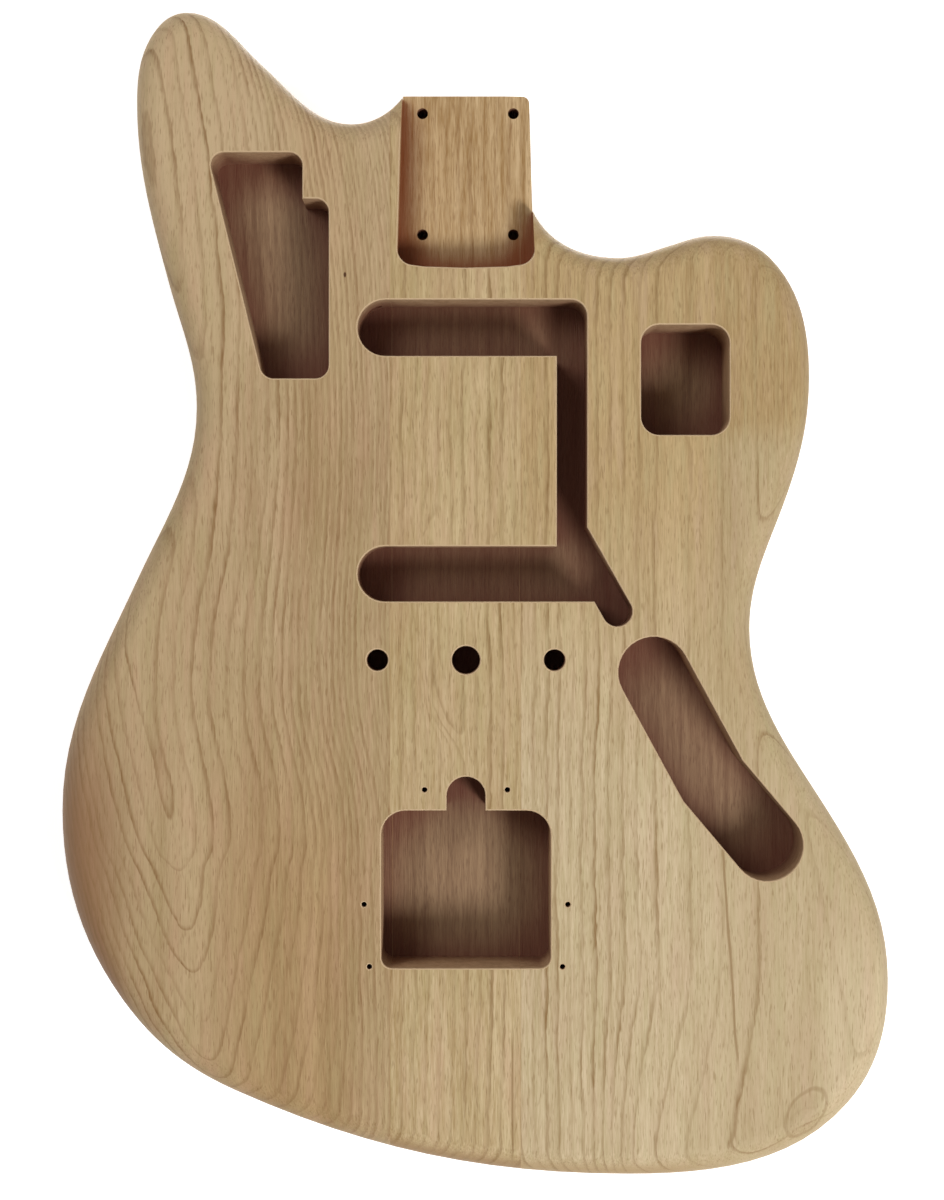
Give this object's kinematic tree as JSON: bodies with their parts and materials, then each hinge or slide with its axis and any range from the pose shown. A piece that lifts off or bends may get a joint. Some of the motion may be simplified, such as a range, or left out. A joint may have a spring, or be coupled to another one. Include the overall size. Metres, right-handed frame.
{
  "type": "electric guitar body",
  "caption": "Bare offset-waist electric guitar body glued up from boards, contoured and routed for bolt-on neck, pickups, bridge, floating tremolo and controls.",
  "frame": {"origin": "on the back face, under the middle of the line through the two bridge post holes", "axes": "+X towards the treble side, +Y along the body towards the neck end, +Z out of the front face"},
  "size_m": [0.346, 0.4845, 0.0445],
  "materials": {
    "bass_wood_board": "bare sanded ash-like wood, warm tan, flat-sawn figure",
    "centre_wood_board": "bare sanded ash-like wood, pale tan, straight figure",
    "treble_wood_board": "bare sanded ash-like wood, tan, straight figure that widens to the edge",
    "set_glue": "set wood glue in a thin line"
  },
  "bodies": {
    "root": {"bass_board": "bass_wood_board", "centre_board": "centre_wood_board", "treble_board": "treble_wood_board", "bass_glue_line": "set_glue", "treble_glue_line": "set_glue"}
  },
  "joints": []
}
